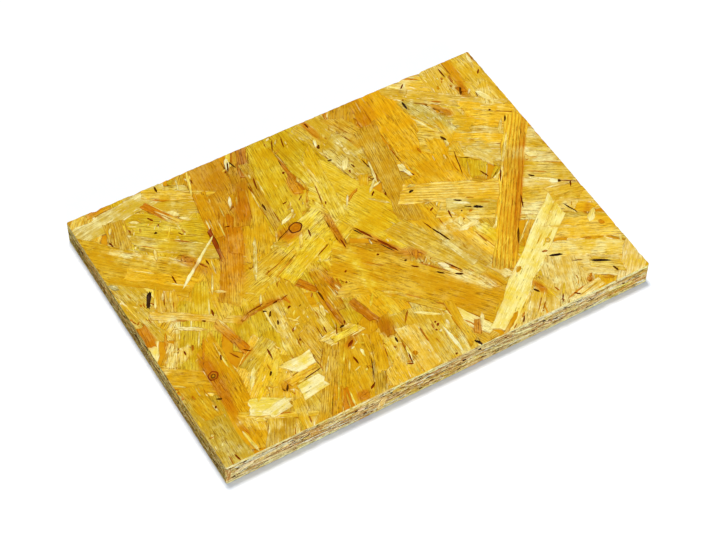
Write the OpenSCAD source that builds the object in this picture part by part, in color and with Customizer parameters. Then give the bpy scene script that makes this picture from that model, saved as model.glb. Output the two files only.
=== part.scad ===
// Loose panel of oriented strand board (OSB): one pressed and sawn piece, lying flat.
// Frame: origin at the middle of the underside, +X along the longer side,
// +Y along the shorter side, +Z up through the thickness.

/* [Board] */
// Length along the longer side, between the sawn ends
board_length = 297; // [100:1:2500]
// Width along the shorter side, between the sawn edges
board_width = 210; // [100:1:1250]
// Thickness of the pressed board
board_thickness = 18; // [6:0.5:30]

/* [Edges] */
// Bevel where the top and bottom faces meet the sawn sides, as sawing and handling leave it
face_arris = 0.5; // [0.1:0.1:2]
// Bevel on the four upright corners
corner_arris = 0.8; // [0.1:0.1:4]

/* [Hidden] */

// How far each cutting profile runs past the board, so that no two faces coincide
overrun = 2;

// A rectangle centred on the origin, with its four corners bevelled at 45 degrees
module bevelled_rectangle(length, height, bevel) {
    x = length / 2;
    y = height / 2;
    polygon([
        [-x + bevel, -y], [x - bevel, -y],
        [x, -y + bevel], [x, y - bevel],
        [x - bevel, y], [-x + bevel, y],
        [-x, y - bevel], [-x, -y + bevel],
    ]);
}

// The outline seen from above, carried through the whole thickness
module plan_prism() {
    linear_extrude(height = board_thickness + 2 * overrun, center = true)
        bevelled_rectangle(board_length, board_width, corner_arris);
}

// The section across the board, carried along X
module cross_prism() {
    rotate([90, 0, 90])
        linear_extrude(height = board_length + 2 * overrun, center = true)
            bevelled_rectangle(board_width, board_thickness, face_arris);
}

// The section along the board, carried along Y
module long_prism() {
    rotate([90, 0, 0])
        linear_extrude(height = board_width + 2 * overrun, center = true)
            bevelled_rectangle(board_length, board_thickness, face_arris);
}

// The board is one solid: strands glued and hot-pressed into a single sheet, then sawn to size
module board() {
    color([0.85, 0.67, 0.27])
        translate([0, 0, board_thickness / 2])
            intersection() {
                plan_prism();
                cross_prism();
                long_prism();
            }
}

board();
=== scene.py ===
"""One loose panel of oriented strand board (OSB), lying flat.

The CAD board is replaced by six closed slabs that meet on mitres inside it: its two faces and its four
sawn edges. The outer side of each slab is a relief made of strands: outlines are laid one over another,
each pressed into the ones below, and a constrained triangulation keeps every strand's edge crisp.
Plans are in millimetres (u, v and a relief height n), and the meshes are in metres.
"""

import copy
import math

import bpy
import numpy as np
from mathutils import Matrix, Vector
from mathutils.geometry import delaunay_2d_cdt


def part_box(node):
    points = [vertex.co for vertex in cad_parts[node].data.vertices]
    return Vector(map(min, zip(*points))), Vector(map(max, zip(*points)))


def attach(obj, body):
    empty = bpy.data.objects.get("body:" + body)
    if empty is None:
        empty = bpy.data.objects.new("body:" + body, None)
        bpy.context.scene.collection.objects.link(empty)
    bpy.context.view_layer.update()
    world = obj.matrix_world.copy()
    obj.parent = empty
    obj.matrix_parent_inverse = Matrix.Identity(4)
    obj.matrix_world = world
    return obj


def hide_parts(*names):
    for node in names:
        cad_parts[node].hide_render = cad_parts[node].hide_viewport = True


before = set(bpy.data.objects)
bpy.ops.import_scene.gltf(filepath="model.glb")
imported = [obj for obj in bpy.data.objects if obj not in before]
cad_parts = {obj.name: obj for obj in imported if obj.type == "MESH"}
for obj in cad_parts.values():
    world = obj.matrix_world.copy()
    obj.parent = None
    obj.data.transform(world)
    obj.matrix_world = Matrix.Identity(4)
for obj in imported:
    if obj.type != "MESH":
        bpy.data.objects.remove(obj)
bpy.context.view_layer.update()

NODE, SLOT = "board", "strand_wood"
MM = 0.001
BOARD_LOW, BOARD_HIGH = (np.array(corner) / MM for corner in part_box(NODE))
LENGTH, WIDTH, THICK = BOARD_HIGH - BOARD_LOW

FACE_ARRIS = 0.5      # bevel along the two faces, as in the CAD
CORNER_ARRIS = 0.8    # bevel on the upright corners, as in the CAD
MITRE = 4.0           # depth of each slab, which is deeper than any void
SUPPORT = 1.8         # spacing of the free points that carry the soft undulation of a relief
OUTLINE_STEP = 3.0    # longest stretch of a strand's outline between two points
RIM_STEP = 1.5        # the same along the border of a face
WELD = 0.001          # points nearer than this are one point
BED = -0.9            # level of a relief where no strand lies
BORDER_SLOPE = 0.7    # how steeply a relief may fall away from its border
POINTED_EDGE = 0.2    # rounding of the thin splinters and fibres
SAWN_EDGE = 0.12      # the same on the sawn edges
FAR_FROM_EDGE = 3.0   # distances from a strand's edge aren't told apart past this
CRISP_ANGLE = 38      # degrees between two faces from which their edge is shaded crisp
LAYERS = 25           # strands one over another in the board's thickness
WEAR_REACH = 2.0      # how far from an arris its wear goes
LOWER_WEAR = 0.3      # wear of the lower arrises as a share of that of the upper ones
PALEST = 0.86         # no wood is lighter than this
HIDDEN_STRIP = 0.01   # share of the image kept for a slab's hidden faces
STRIPS = 4            # strips that a sawn edge is folded into on the image
STRIP_MARGIN = 0.06   # share of a strip's height left free above it and below it
SEED = 20             # of all the random draws but one

# ---------------------------------------------------------------------------------------------------
# Woods: colour as seen (sRGB, 0 to 255), contrast of the growth rings, their spacing in mm
# ---------------------------------------------------------------------------------------------------

WOODS = {
    "golden": ((221, 172, 30), 0.25, 3.2),
    "amber": ((217, 165, 24), 0.14, 5.0),
    "olive": ((216, 178, 32), 0.50, 1.7),
    "khaki": ((210, 175, 62), 0.20, 2.4),
    "tan": ((209, 163, 40), 0.75, 1.3),
    "sand": ((223, 182, 54), 0.35, 2.0),
    "honey": ((236, 190, 52), 0.35, 2.2),
    "straw": ((216, 173, 54), 0.55, 1.5),
    "wheat": ((229, 190, 78), 0.30, 2.0),
    "birch": ((236, 208, 132), 0.50, 2.4),
    "smoke": ((192, 180, 104), 0.10, 2.4),
    "beige": ((231, 196, 98), 0.12, 3.0),
    "lemon": ((233, 200, 56), 0.15, 3.0),
    "pale": ((238, 207, 104), 0.25, 2.2),
    "cream": ((242, 222, 140), 0.10, 3.2),
    "mist": ((222, 196, 112), 0.09, 2.4),
    "milk": ((244, 229, 172), 0.05, 3.0),
    "white": ((246, 232, 188), 0.06, 3.0),
    "butter": ((246, 222, 130), 0.08, 3.2),
    "ochre": ((210, 152, 16), 0.30, 2.6),
    "caramel": ((196, 142, 26), 0.35, 2.2),
    "orange": ((214, 146, 16), 0.60, 1.5),
    "striped": ((246, 192, 54), 1.90, 2.5),
    "rippled": ((238, 197, 70), 1.00, 2.4),
    "rust": ((202, 128, 10), 0.35, 2.0),
    "brown": ((184, 114, 12), 0.40, 1.6),
    "redbrown": ((148, 66, 6), 0.30, 1.2),
    "grey": ((190, 178, 122), 0.15, 2.0),
    "knot": ((98, 42, 12), 0.30, 0.8),
    "shade": ((112, 66, 10), 0.20, 1.5),
    # painted shade: the next two are the colours of the deepest gaps and of the gaps in the sawn edges
    "deep_gap_shade": ((70, 46, 36), 0.15, 1.5),
    "sawn_gap_shade": ((96, 66, 34), 0.20, 0.5),
    "sawn": ((206, 184, 130), 0.20, 0.5),
    "sawn_pale": ((228, 212, 166), 0.15, 0.5),
    "sawn_cream": ((206, 186, 134), 0.15, 0.6),
    "sawn_pink": ((206, 172, 130), 0.15, 0.5),
    "sawn_moss": ((172, 162, 88), 0.20, 0.5),
    "sawn_tan": ((194, 166, 106), 0.20, 0.5),
    "sawn_brown": ((156, 122, 66), 0.25, 0.5),
    "sawn_olive": ((178, 160, 98), 0.20, 0.5),
}

# How light each side is painted, in linear red, green and blue: the long edges lighter, as painted light,
# since the front edge has the most light, and the short edges darker and browner, as painted shade
FACE_TONE, LONG_EDGE_LIT_TONE, SHORT_EDGE_SHADED_TONE = (0.955, 0.92, 0.76), (1.80, 1.63, 1.76), (1.00, 0.865, 0.47)
SIDE_TONE = {"upper_face": FACE_TONE, "lower_face": FACE_TONE, "front_edge": LONG_EDGE_LIT_TONE,
             "back_edge": LONG_EDGE_LIT_TONE, "left_edge": SHORT_EDGE_SHADED_TONE, "right_edge": SHORT_EDGE_SHADED_TONE}
# Painted light and shade on a short edge: how much lighter or darker it is painted at some heights above the
# floor, in mm, darkest near the floor and lightest a little below the upper arris
SHORT_EDGE_PAINTED_SHADING = (1.5, 3, 8, 10, 13.5, 15.5), (1.0, 0.80, 1.08, 1.28, 1.75, 1.0)

# ---------------------------------------------------------------------------------------------------
# The upper face, strand by strand, from the bottom of the pile to the top
# (wood, x, y, angle of the grain from +X in degrees, length, width), in mm from the board's middle
# ---------------------------------------------------------------------------------------------------

BROAD_STRANDS = [
    ("olive", -112, 74, 82, 58, 26), ("khaki", -140, 24, 100, 66, 22), ("golden", -106, 14, 38, 66, 34),
    ("olive", -94, 62, -36, 74, 30), ("khaki", -84, 90, -30, 62, 22), ("caramel", -57, 78, 85, 82, 27),
    ("golden", -46, 40, 66, 74, 24), ("olive", -23, 72, 84, 82, 26), ("olive", 8, 66, 96, 92, 26),
    ("khaki", 30, 76, 104, 66, 24), ("amber", 76, 62, 88, 112, 33), ("beige", 104, 92, -38, 60, 26),
    ("beige", 118, 84, 84, 66, 22), ("sand", 137, 78, 94, 74, 24), ("sand", 108, 40, -36, 66, 34),
    ("lemon", -22, 16, 24, 62, 34), ("sand", -72, 2, 16, 66, 22), ("olive", 18, 22, -66, 84, 34),
    ("golden", 50, -2, 92, 62, 28), ("sand", 88, -14, -30, 60, 24), ("olive", -120, -18, 62, 58, 28),
    ("khaki", -140, -78, 88, 74, 24), ("olive", -86, -26, 74, 44, 32), ("wheat", -98, -58, 42, 44, 32),
    ("sand", -62, -30, 84, 62, 28), ("wheat", -96, -96, 62, 40, 34), ("olive", -33, -28, 84, 58, 22),
    ("golden", -46, -84, 80, 56, 24), ("golden", -10, -40, 96, 76, 22), ("wheat", -24, -92, 78, 40, 26),
    ("sand", 2, -88, 88, 56, 34), ("khaki", 20, -92, 84, 40, 14), ("honey", 66, -40, -74, 52, 22),
    ("beige", 130, -26, -26, 56, 34), ("beige", 133, 18, -30, 52, 30), ("beige", 100, -88, 70, 56, 32),
    ("beige", 72, -96, 50, 44, 28), ("beige", 128, -92, -32, 40, 18), ("sand", -76, -80, 84, 44, 18),
]

LONG_STRANDS = [
    # the corner at -x, +y
    ("mist", -121, 94, 9, 78, 14), ("ochre", -128, 103, 8, 16, 4), ("straw", -126, 78, 76, 26, 15),
    ("golden", -130, 53, -44, 80, 27), ("khaki", -97, 52, -38, 58, 11), ("sand", -79, 91, -30, 44, 8),
    ("rust", -94, 82, -60, 28, 5), ("golden", -117, 36, -40, 46, 10), ("straw", -124, 16, 66, 24, 13),
    ("olive", -104, 4, 62, 36, 16), ("straw", -113, -1, -33, 56, 6), ("rust", -146, 1, 84, 17, 8),
    ("golden", -91, 12, 78, 44, 12),
    # between the corner and the knot
    ("orange", -74, 26, 63, 66, 15), ("rust", -62, 44, 66, 30, 9), ("caramel", -40, 77, 64, 66, 10),
    ("brown", -29, 95, 70, 26, 7), ("ochre", -47, 62, 70, 24, 9), ("ochre", -69, 66, 80, 40, 9),
    ("caramel", -40, 88, 80, 16, 5), ("tan", -33, 64, 84, 58, 6), ("orange", -10, 60, 86, 14, 6),
    ("amber", -47, 8, 22, 26, 6), ("lemon", -34, 6, 26, 40, 12), ("brown", -6, 15, 86, 26, 4),
    ("khaki", -41, 23, -24, 9, 4), ("olive", 6, 52, 82, 62, 11),
    # right of the knot, under the tan strand
    ("golden", 34, 49, 60, 24, 6), ("khaki", 29, 64, 100, 36, 15), ("ochre", 46, 96, 60, 34, 18),
    ("ochre", 57, 92, 84, 24, 8), ("tan", 43, 84, 110, 30, 12), ("tan", 47, 40, 80, 84, 16),
    ("amber", 69, 28, 96, 44, 14), ("golden", 84, 36, 82, 30, 10), ("rippled", 76, 5, -27, 70, 17),
    ("khaki", 95, 69, -72, 40, 12), ("wheat", 104, 84, -38, 66, 8), ("beige", 116, 72, -38, 62, 11),
    ("honey", 99, 46, 86, 40, 8), ("beige", 117, 25, -33, 42, 20), ("mist", 106, 24, -62, 20, 6),
    ("amber", 130, 95, 88, 22, 6), ("sand", 138, 66, 68, 26, 8), ("honey", 131, 52, -36, 34, 14),
    ("honey", 133, 40, -30, 34, 5), ("honey", 116, 34, -32, 40, 9),
    # the edge at +x
    ("sand", 133, -8, -32, 46, 15), ("honey", 124, -24, -24, 50, 13), ("honey", 139, -29, -14, 24, 9),
    ("sand", 139, 16, -40, 26, 10), ("golden", 140, -47, -40, 12, 8),
    # the corner at -x, -y
    ("amber", -139, -40, -36, 48, 17), ("pale", -141, -49, -35, 26, 3), ("beige", -140, -22, 58, 12, 6),
    ("golden", -139, -58, 96, 26, 12), ("amber", -120, -62, 87, 84, 17), ("ochre", -125, -60, 88, 54, 6),
    ("rust", -101, -24, -78, 30, 6), ("straw", -108, -98, 61, 34, 16), ("sand", -97, -92, -29, 64, 4),
    ("honey", -78, -70, 8, 22, 6), ("sand", -92, -95, 80, 24, 6), ("khaki", -94, -44, 30, 26, 10),
    # along the edge at -y
    ("straw", -60, -56, 90, 32, 12), ("tan", -64, -80, 57, 62, 13), ("pale", -43, -56, 4, 24, 10),
    ("golden", -50, -72, 62, 44, 8), ("ochre", -70, -98, 60, 26, 6), ("straw", -40, -96, 62, 36, 8),
    ("rust", -43, -14, -58, 14, 5), ("brown", -29, -18, -82, 30, 6), ("ochre", -34, -22, 88, 34, 8),
    ("ochre", -39, -36, 92, 30, 5), ("golden", -20, -30, -20, 18, 10), ("brown", -23, -47, -74, 20, 6),
    ("ochre", -17, -64, 74, 15, 9), ("golden", -30, -78, 72, 30, 8), ("pale", -23, -78, 84, 22, 4),
    ("wheat", -28, -98, 84, 16, 14), ("wheat", -7, -88, 88, 36, 13),
    # the two long golden strands and what lies between them and the pale one
    ("amber", 19, -47, -49, 118, 29), ("golden", 12, -60, -48, 60, 5), ("sand", 46, -36, -62, 84, 15),
    ("mist", 52, -38, -74, 26, 5), ("honey", 65, -40, -78, 38, 12), ("golden", 58, -66, -70, 16, 9),
    ("cream", 30, -85, -62, 30, 8), ("golden", 24, -84, 86, 34, 6), ("orange", 31, -92, 60, 10, 4),
    ("cream", 66, -62, -66, 16, 6), ("lemon", 77, -34, -70, 18, 8), ("khaki", 80, -10, -30, 34, 9),
    ("honey", 130, -60, -28, 56, 17), ("pale", 122, -74, -27, 58, 12), ("sand", 80, -84, -78, 22, 9),
    ("pale", 58, -98, 36, 36, 8), ("beige", 72, -95, 46, 26, 9), ("birch", 142, -98, 47, 34, 15),
    ("sand", 126, -91, -36, 20, 9), ("beige", 104, -102, 10, 24, 6), ("lemon", 116, -43, 40, 26, 5),
    ("striped", 108, -10, 54, 132, 15), ("butter", 84, -68, 38, 108, 15), ("milk", -107, -80, -24, 22, 12),
    ("milk", -102, -84, 10, 16, 8), ("milk", -77, -80, 6, 17, 11), ("milk", -75, -62, 2, 18, 10),
    ("lemon", -41, -57, 4, 18, 5), ("redbrown", -76, 42, 82, 27, 2.6),
]

# Thin pale or dark splinters and worn strand edges
SPLINTERS = [
    ("white", -92, 36, 38, 46, 2.2), ("redbrown", -98.5, 43, 74, 5, 2.8), ("brown", -96, 40.5, -38, 7, 3.4),
    ("redbrown", -96, 40, -52, 4, 1.4), ("redbrown", -90, 32, -62, 7, 1.6), ("pale", -60, 21, 63, 36, 2.6),
    ("white", -52, 69, 66, 10, 2.0), ("white", -39, 97, 70, 12, 3.0), ("pale", -67, 96, 72, 26, 2.0),
    ("white", -128, 85, 62, 6, 1.8), ("cream", -112, 84, -30, 7, 2.0), ("white", -112, 54, 72, 10, 2.0),
    ("cream", -92, 17, 62, 18, 1.6), ("pale", -91, 9, -32, 9, 1.8), ("cream", -129, 21, 62, 10, 1.6),
    ("cream", -123, 23, 60, 8, 1.4), ("pale", -146, 30, 98, 34, 1.4), ("grey", -146, 44, -50, 8, 3.6),
    ("cream", -27, 39, 24, 13, 3.0), ("pale", -28, 20, 60, 12, 2.4), ("orange", -46, 6, 23, 22, 1.6),
    ("orange", -5, 24, 72, 12, 3.0), ("pale", 4, 66, 92, 24, 2.0), ("cream", 39, 46, 76, 20, 1.8),
    ("cream", 33, 36, 44, 14, 1.8), ("cream", 33, 69, 96, 9, 3.6), ("white", 32, 76, -70, 8, 2.2),
    ("cream", 27, 60, 50, 12, 4.0), ("rust", 22, 95, -80, 17, 2.4), ("white", 19, 85, 70, 8, 2.0),
    ("white", 58, 34, -72, 9, 2.4), ("cream", 54, 23, -10, 7, 1.8), ("brown", 106, 66, -55, 9, 3.0),
    ("cream", 88, 64, -66, 20, 1.4), ("white", 93, 43, 84, 6, 2.4), ("white", 136, 66, -68, 13, 4.0),
    ("pale", 118, 14, 52, 44, 1.8), ("pale", 131, 38, 50, 14, 2.2), ("cream", 135, 7, -40, 9, 4.4),
    ("cream", 130, -14, -34, 24, 1.8), ("white", 135, -19, -30, 7, 3.0), ("pale", 130, -42, -66, 14, 2.6),
    ("cream", 140, -54, 44, 12, 4.0), ("pale", 96, -44, 40, 24, 1.4), ("pale", 118, -40, 38, 26, 1.4),
    ("white", 68, -23, 4, 16, 3.6), ("cream", 66, -17, 60, 8, 3.0), ("white", 74, -5, -34, 12, 2.0),
    ("white", 38, -42, -56, 9, 3.4), ("cream", 41, -49, -54, 16, 2.4), ("cream", 48, -61, -58, 18, 3.4),
    ("white", 13, -93, 92, 24, 2.0), ("pale", 18, -96, 88, 18, 2.0), ("cream", 36, -89, 60, 12, 2.4),
    ("pale", -1, -44, -36, 12, 2.4), ("cream", -18, -76, 80, 8, 3.6), ("cream", -15, -88, 78, 12, 2.0),
    ("cream", -39, -74, 88, 7, 1.8), ("pale", -44, -34, 78, 12, 3.0), ("pale", -63, -32, -50, 8, 1.6),
    ("pale", -71, -34, 76, 16, 2.2), ("cream", -127, -96, 96, 18, 2.2), ("cream", -105, -58, 56, 18, 3.0),
    ("lemon", -106, -70, 46, 12, 3.0), ("cream", -115, -86, -30, 8, 3.0), ("pale", -120, -7, -32, 22, 3.0),
    ("cream", -90, -58, 54, 14, 4.0), ("rust", -75, -15, 5, 26, 2.0), ("rust", -59, -17, -80, 8, 1.8),
    ("rust", -87, -16, 28, 8, 1.8), ("redbrown", -88, -15.5, 28, 7, 0.9),
    ("redbrown", -79, -13, 8, 13, 0.9), ("redbrown", -67, -13.8, -6, 11, 0.9),
    ("redbrown", -59.5, -14.5, 14, 7, 0.8), ("orange", -121, -26, 62, 22, 1.4),
    ("orange", -137, -8, 64, 14, 2.0), ("rust", -126, -85, 95, 15, 1.8), ("brown", -39, -40, 92, 22, 2.4),
    ("orange", -12, -90, 60, 4, 3.0), ("rust", -54, -102, 10, 7, 5.0), ("brown", 28, -25, 60, 6, 4.0),
    ("rust", 12, -3, -62, 34, 2.6), ("ochre", 50, -100, 34, 20, 3.0), ("orange", 142, -62, -50, 5, 3.0),
    ("redbrown", 110, -96, 40, 4, 3.0), ("ochre", 121, -100, -30, 8, 2.4),
    ("redbrown", 98, -64, -10, 4, 1.8), ("rust", 126, 78, -50, 9, 3.4), ("pale", 145, 97, 80, 16, 2.6),
    ("pale", 110, 100, 94, 14, 3.0), ("cream", 95, 100, 40, 6, 2.4), ("ochre", 76, -68, 32, 6, 2.6),
    ("redbrown", -6, 17, 84, 6, 1.6), ("pale", 117, -52, -30, 22, 2.0), ("rust", 57, -66, -72, 12, 3.0),
]

# Open gaps between strands: (x, y, angle, length, width, depth)
VOIDS = [
    (-131.5, 25, 59, 14, 3.0, 1.2), (81.5, -13, -34, 7, 2.5, 1.4), (76, -9.6, -36, 6, 0.9, 1.0),
    (102.5, -70, -24, 9, 1.7, 1.4), (124, -87.5, -31, 14, 1.8, 1.4), (111.5, -80, -28, 8, 0.9, 0.9),
    (51.5, 19, 6, 3.8, 2.0, 1.2), (86, 84, 86, 8, 1.6, 1.2), (93, 47, -72, 6, 1.8, 1.1),
    (-35.5, 54, 86, 7, 1.5, 1.1), (-39.5, 95, 66, 9, 1.2, 1.0), (-36, 96, -76, 9, 1.1, 1.0),
    (-132, 75, -82, 5, 1.2, 0.9), (-104, 69.5, 20, 2.4, 1.9, 1.1), (-102, 81, -62, 5, 1.3, 0.9),
    (-88, 101.5, 86, 6, 1.5, 1.1), (-111, 31, 88, 8, 1.0, 0.8), (-21, 22, 80, 7, 1.2, 0.9),
    (-11, 73, 40, 2.4, 1.8, 0.9), (19.5, 81, 62, 4, 1.7, 1.1), (20, 67.5, -20, 3.4, 1.5, 1.0),
    (21.5, 101, -86, 6, 1.2, 0.9), (8, 5, -66, 15, 1.7, 0.9), (16, -11, -64, 17, 1.8, 0.9),
    (5.5, 7, -66, 9, 0.7, 1.2), (15, -12.5, -62, 12, 0.7, 1.2), (49.5, -20, -70, 16, 1.3, 1.0),
    (46, -10, -74, 9, 0.9, 0.8), (22, -34, -42, 6, 1.3, 0.9), (33, -46, -44, 6, 1.5, 1.1),
    (42.5, -52.5, -34, 6, 1.5, 1.1), (43, -46, -62, 14, 0.9, 0.8), (19.5, -27, 20, 2.2, 1.7, 1.0),
    (7, -14.5, 10, 2.0, 1.7, 0.9), (73, -2, -38, 6, 1.4, 1.0), (63, -9, 80, 7, 1.0, 0.8),
    (90.5, 25, 74, 22, 0.8, 0.7), (100, 9, -66, 8, 1.2, 0.9), (108, 2, 56, 12, 1.0, 0.9),
    (137, 41.5, 54, 6, 1.2, 1.0), (91, -45, 56, 14, 1.3, 1.0), (108, -23, 66, 12, 1.0, 0.8),
    (125, -8, -44, 5, 1.4, 1.0), (138, -20.5, -20, 2.6, 2.0, 1.1), (131.5, -43, -68, 12, 1.3, 1.0),
    (143, -26, 58, 6, 1.3, 0.9), (132.5, 53, 10, 2.0, 1.7, 0.9), (122.5, 97, 90, 10, 1.1, 0.9),
    (125, 77, 66, 7, 1.6, 1.0), (93.5, 99.5, 40, 5, 1.2, 0.9), (144.5, 86, 46, 5, 1.2, 0.9),
    (128.5, -97, -76, 5, 1.5, 1.0), (97, -101.5, -40, 5, 1.2, 0.9), (87.5, -100, 56, 8, 0.8, 0.8),
    (58, -101.5, 52, 6, 0.9, 0.8), (76.5, -87, -62, 5, 1.5, 1.0), (25, -102.5, -62, 6, 2.2, 1.3),
    (-16.8, -76, 84, 5, 1.5, 1.1), (-16.5, -92, 78, 9, 0.8, 0.8), (-39.5, -25, 90, 9, 1.4, 1.0),
    (-40, -51, 10, 3.6, 1.7, 1.1), (-37, -49, 70, 4, 1.2, 0.9), (-50, -48, 84, 6, 0.9, 0.8),
    (-42, -64.5, 32, 7, 1.6, 0.9), (-45.5, -77, 92, 7, 1.3, 0.9), (-46, -98, 34, 6, 1.4, 0.9),
    (-94, -60, 52, 4, 1.5, 1.1), (-87.5, -47, 84, 9, 1.1, 0.9), (-90.5, -74, 56, 6, 1.3, 1.0),
    (-98, -38, -40, 6, 1.0, 0.8), (-129, -61, -26, 4, 1.5, 1.0), (-133.5, -65, 60, 2.4, 1.4, 0.9),
    (-139, -102, -78, 6, 1.2, 0.9), (-114, -35, 62, 5, 1.0, 0.8), (-110, -6, -40, 2.6, 1.3, 0.9),
    (-72, -29.5, 66, 4, 1.5, 1.1), (-73, -21.5, 52, 5, 1.3, 1.0), (-75, -18, -30, 3, 1.4, 1.0),
    (-60.5, -22.5, 30, 3, 1.6, 0.9), (-102.5, -3, 76, 6, 1.2, 0.8), (-131, -21.5, 84, 4, 1.1, 0.8),
    (-87, 33, 86, 6, 1.0, 0.8), (1, 96, 74, 10, 1.0, 0.9), (-6, 97, 64, 10, 0.9, 0.9),
    (-31, 74, 76, 12, 1.0, 0.8), (36.5, 25.5, 70, 3, 1.4, 0.9), (29.5, 29.5, 44, 5, 1.4, 0.9),
    (30.5, 56, -80, 4, 1.3, 0.9), (26.5, 53, 70, 3, 1.3, 0.8), (60, 31, -66, 4, 0.9, 0.8),
    (-17, -16, 30, 2.2, 1.3, 0.7), (-66, -15, 10, 4, 1.2, 0.8), (9, -103, 20, 2.2, 1.4, 0.9),
    (-7, 4, 86, 9, 1.2, 0.8), (0, 38, 60, 3, 1.2, 0.8), (-63, 52, -20, 4, 1.0, 0.7),
]

# Streaks of the front edge: (wood, x, z, angle, length, width)
FRONT_STREAKS = [
    ("sawn_brown", -146.5, 9, 84, 13, 2.6), ("sawn_brown", -72, 6.5, -3, 30, 0.8),
    ("sawn_olive", -66, 8.6, -4, 34, 0.8), ("sawn_brown", -64, 12, -4, 26, 0.7),
    ("sawn_brown", -100, 14, -1, 34, 0.7), ("sawn_brown", -58, 4.4, -2, 20, 0.8),
    ("sawn_pink", -58, 10.5, -8, 10, 1.8), ("sawn_brown", -87, 10.4, -6, 4, 1.4),
    ("sawn_tan", -44, 7, 62, 13, 5), ("sawn_pink", -136, 9.5, 12, 15, 3.2),
    ("sawn_pink", -22, 11, -14, 14, 1.6), ("sawn_moss", -36, 5, 4, 12, 1.8),
    ("sawn_cream", 56, 11, -12, 16, 2.6), ("sawn_pink", 74.5, 7.6, -14, 5, 1.6),
    ("sawn_brown", 68, 8.5, -30, 8, 0.8), ("sawn_olive", 112, 5.4, -2, 26, 0.8),
    ("sawn_cream", 96, 9, -8, 22, 1.6), ("sawn_pink", 104, 14, -8, 12, 1.4),
    ("sawn_olive", 24, 13, -2, 30, 0.7), ("sawn_moss", 92, 9, -10, 14, 1.8),
    ("sawn_cream", 128, 8, -8, 22, 1.8),
]

# Open gaps of the front edge: (x, z, angle, length, width, depth)
FRONT_GAPS = [
    (-136, 14.2, 10, 2.4, 1.2, 1.4), (-141, 11.3, -25, 3.4, 1.5, 1.2), (-143.5, 4.4, 10, 2.4, 1.6, 1.4),
    (-110.5, 15, 0, 2.6, 1.1, 1.2), (-104, 10, -15, 3.0, 1.0, 1.1), (-61.5, 11.2, 10, 2.4, 1.3, 1.6),
    (-54.8, 9.6, 0, 3.0, 1.4, 1.2), (-50.6, 10.6, 20, 2.0, 1.2, 1.1), (-55.2, 4.4, 60, 4.0, 1.0, 1.3),
    (-37.4, 12.8, -30, 2.4, 1.3, 1.6), (-34, 9.5, 20, 2.6, 1.0, 1.0), (-11.4, 10, -30, 3.0, 1.2, 1.2),
    (1.2, 11.3, 0, 2.0, 1.2, 1.3), (13.6, 9.4, -10, 3.4, 1.7, 1.2), (24.4, 13.2, -10, 2.4, 1.3, 1.4),
    (33, 10.9, 0, 2.4, 1.1, 1.1), (43, 12.4, -20, 2.4, 1.0, 1.1), (63.5, 6.2, -20, 3.4, 1.1, 1.2),
    (71, 11.3, -25, 2.8, 1.7, 1.6), (75, 9.6, 10, 2.0, 1.4, 1.4), (80, 7.6, -28, 4.0, 0.9, 1.2),
    (85.8, 13.2, -20, 3.0, 1.1, 1.1), (130, 9.4, -25, 3.4, 1.0, 1.0), (-70, 3.6, -2, 9, 0.7, 1.1),
]

# Knots: (x, y, radius, wood of the heart, wood of the rim)
KNOTS = [
    (-26.5, 29.8, 4.3, "rust", "knot"), (-124.3, -44.5, 3.3, "brown", "redbrown"),
    (-124.3, -44.7, 1.5, "ochre", "shade"), (104.5, -57.5, 2.0, "beige", "golden"),
]

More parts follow.
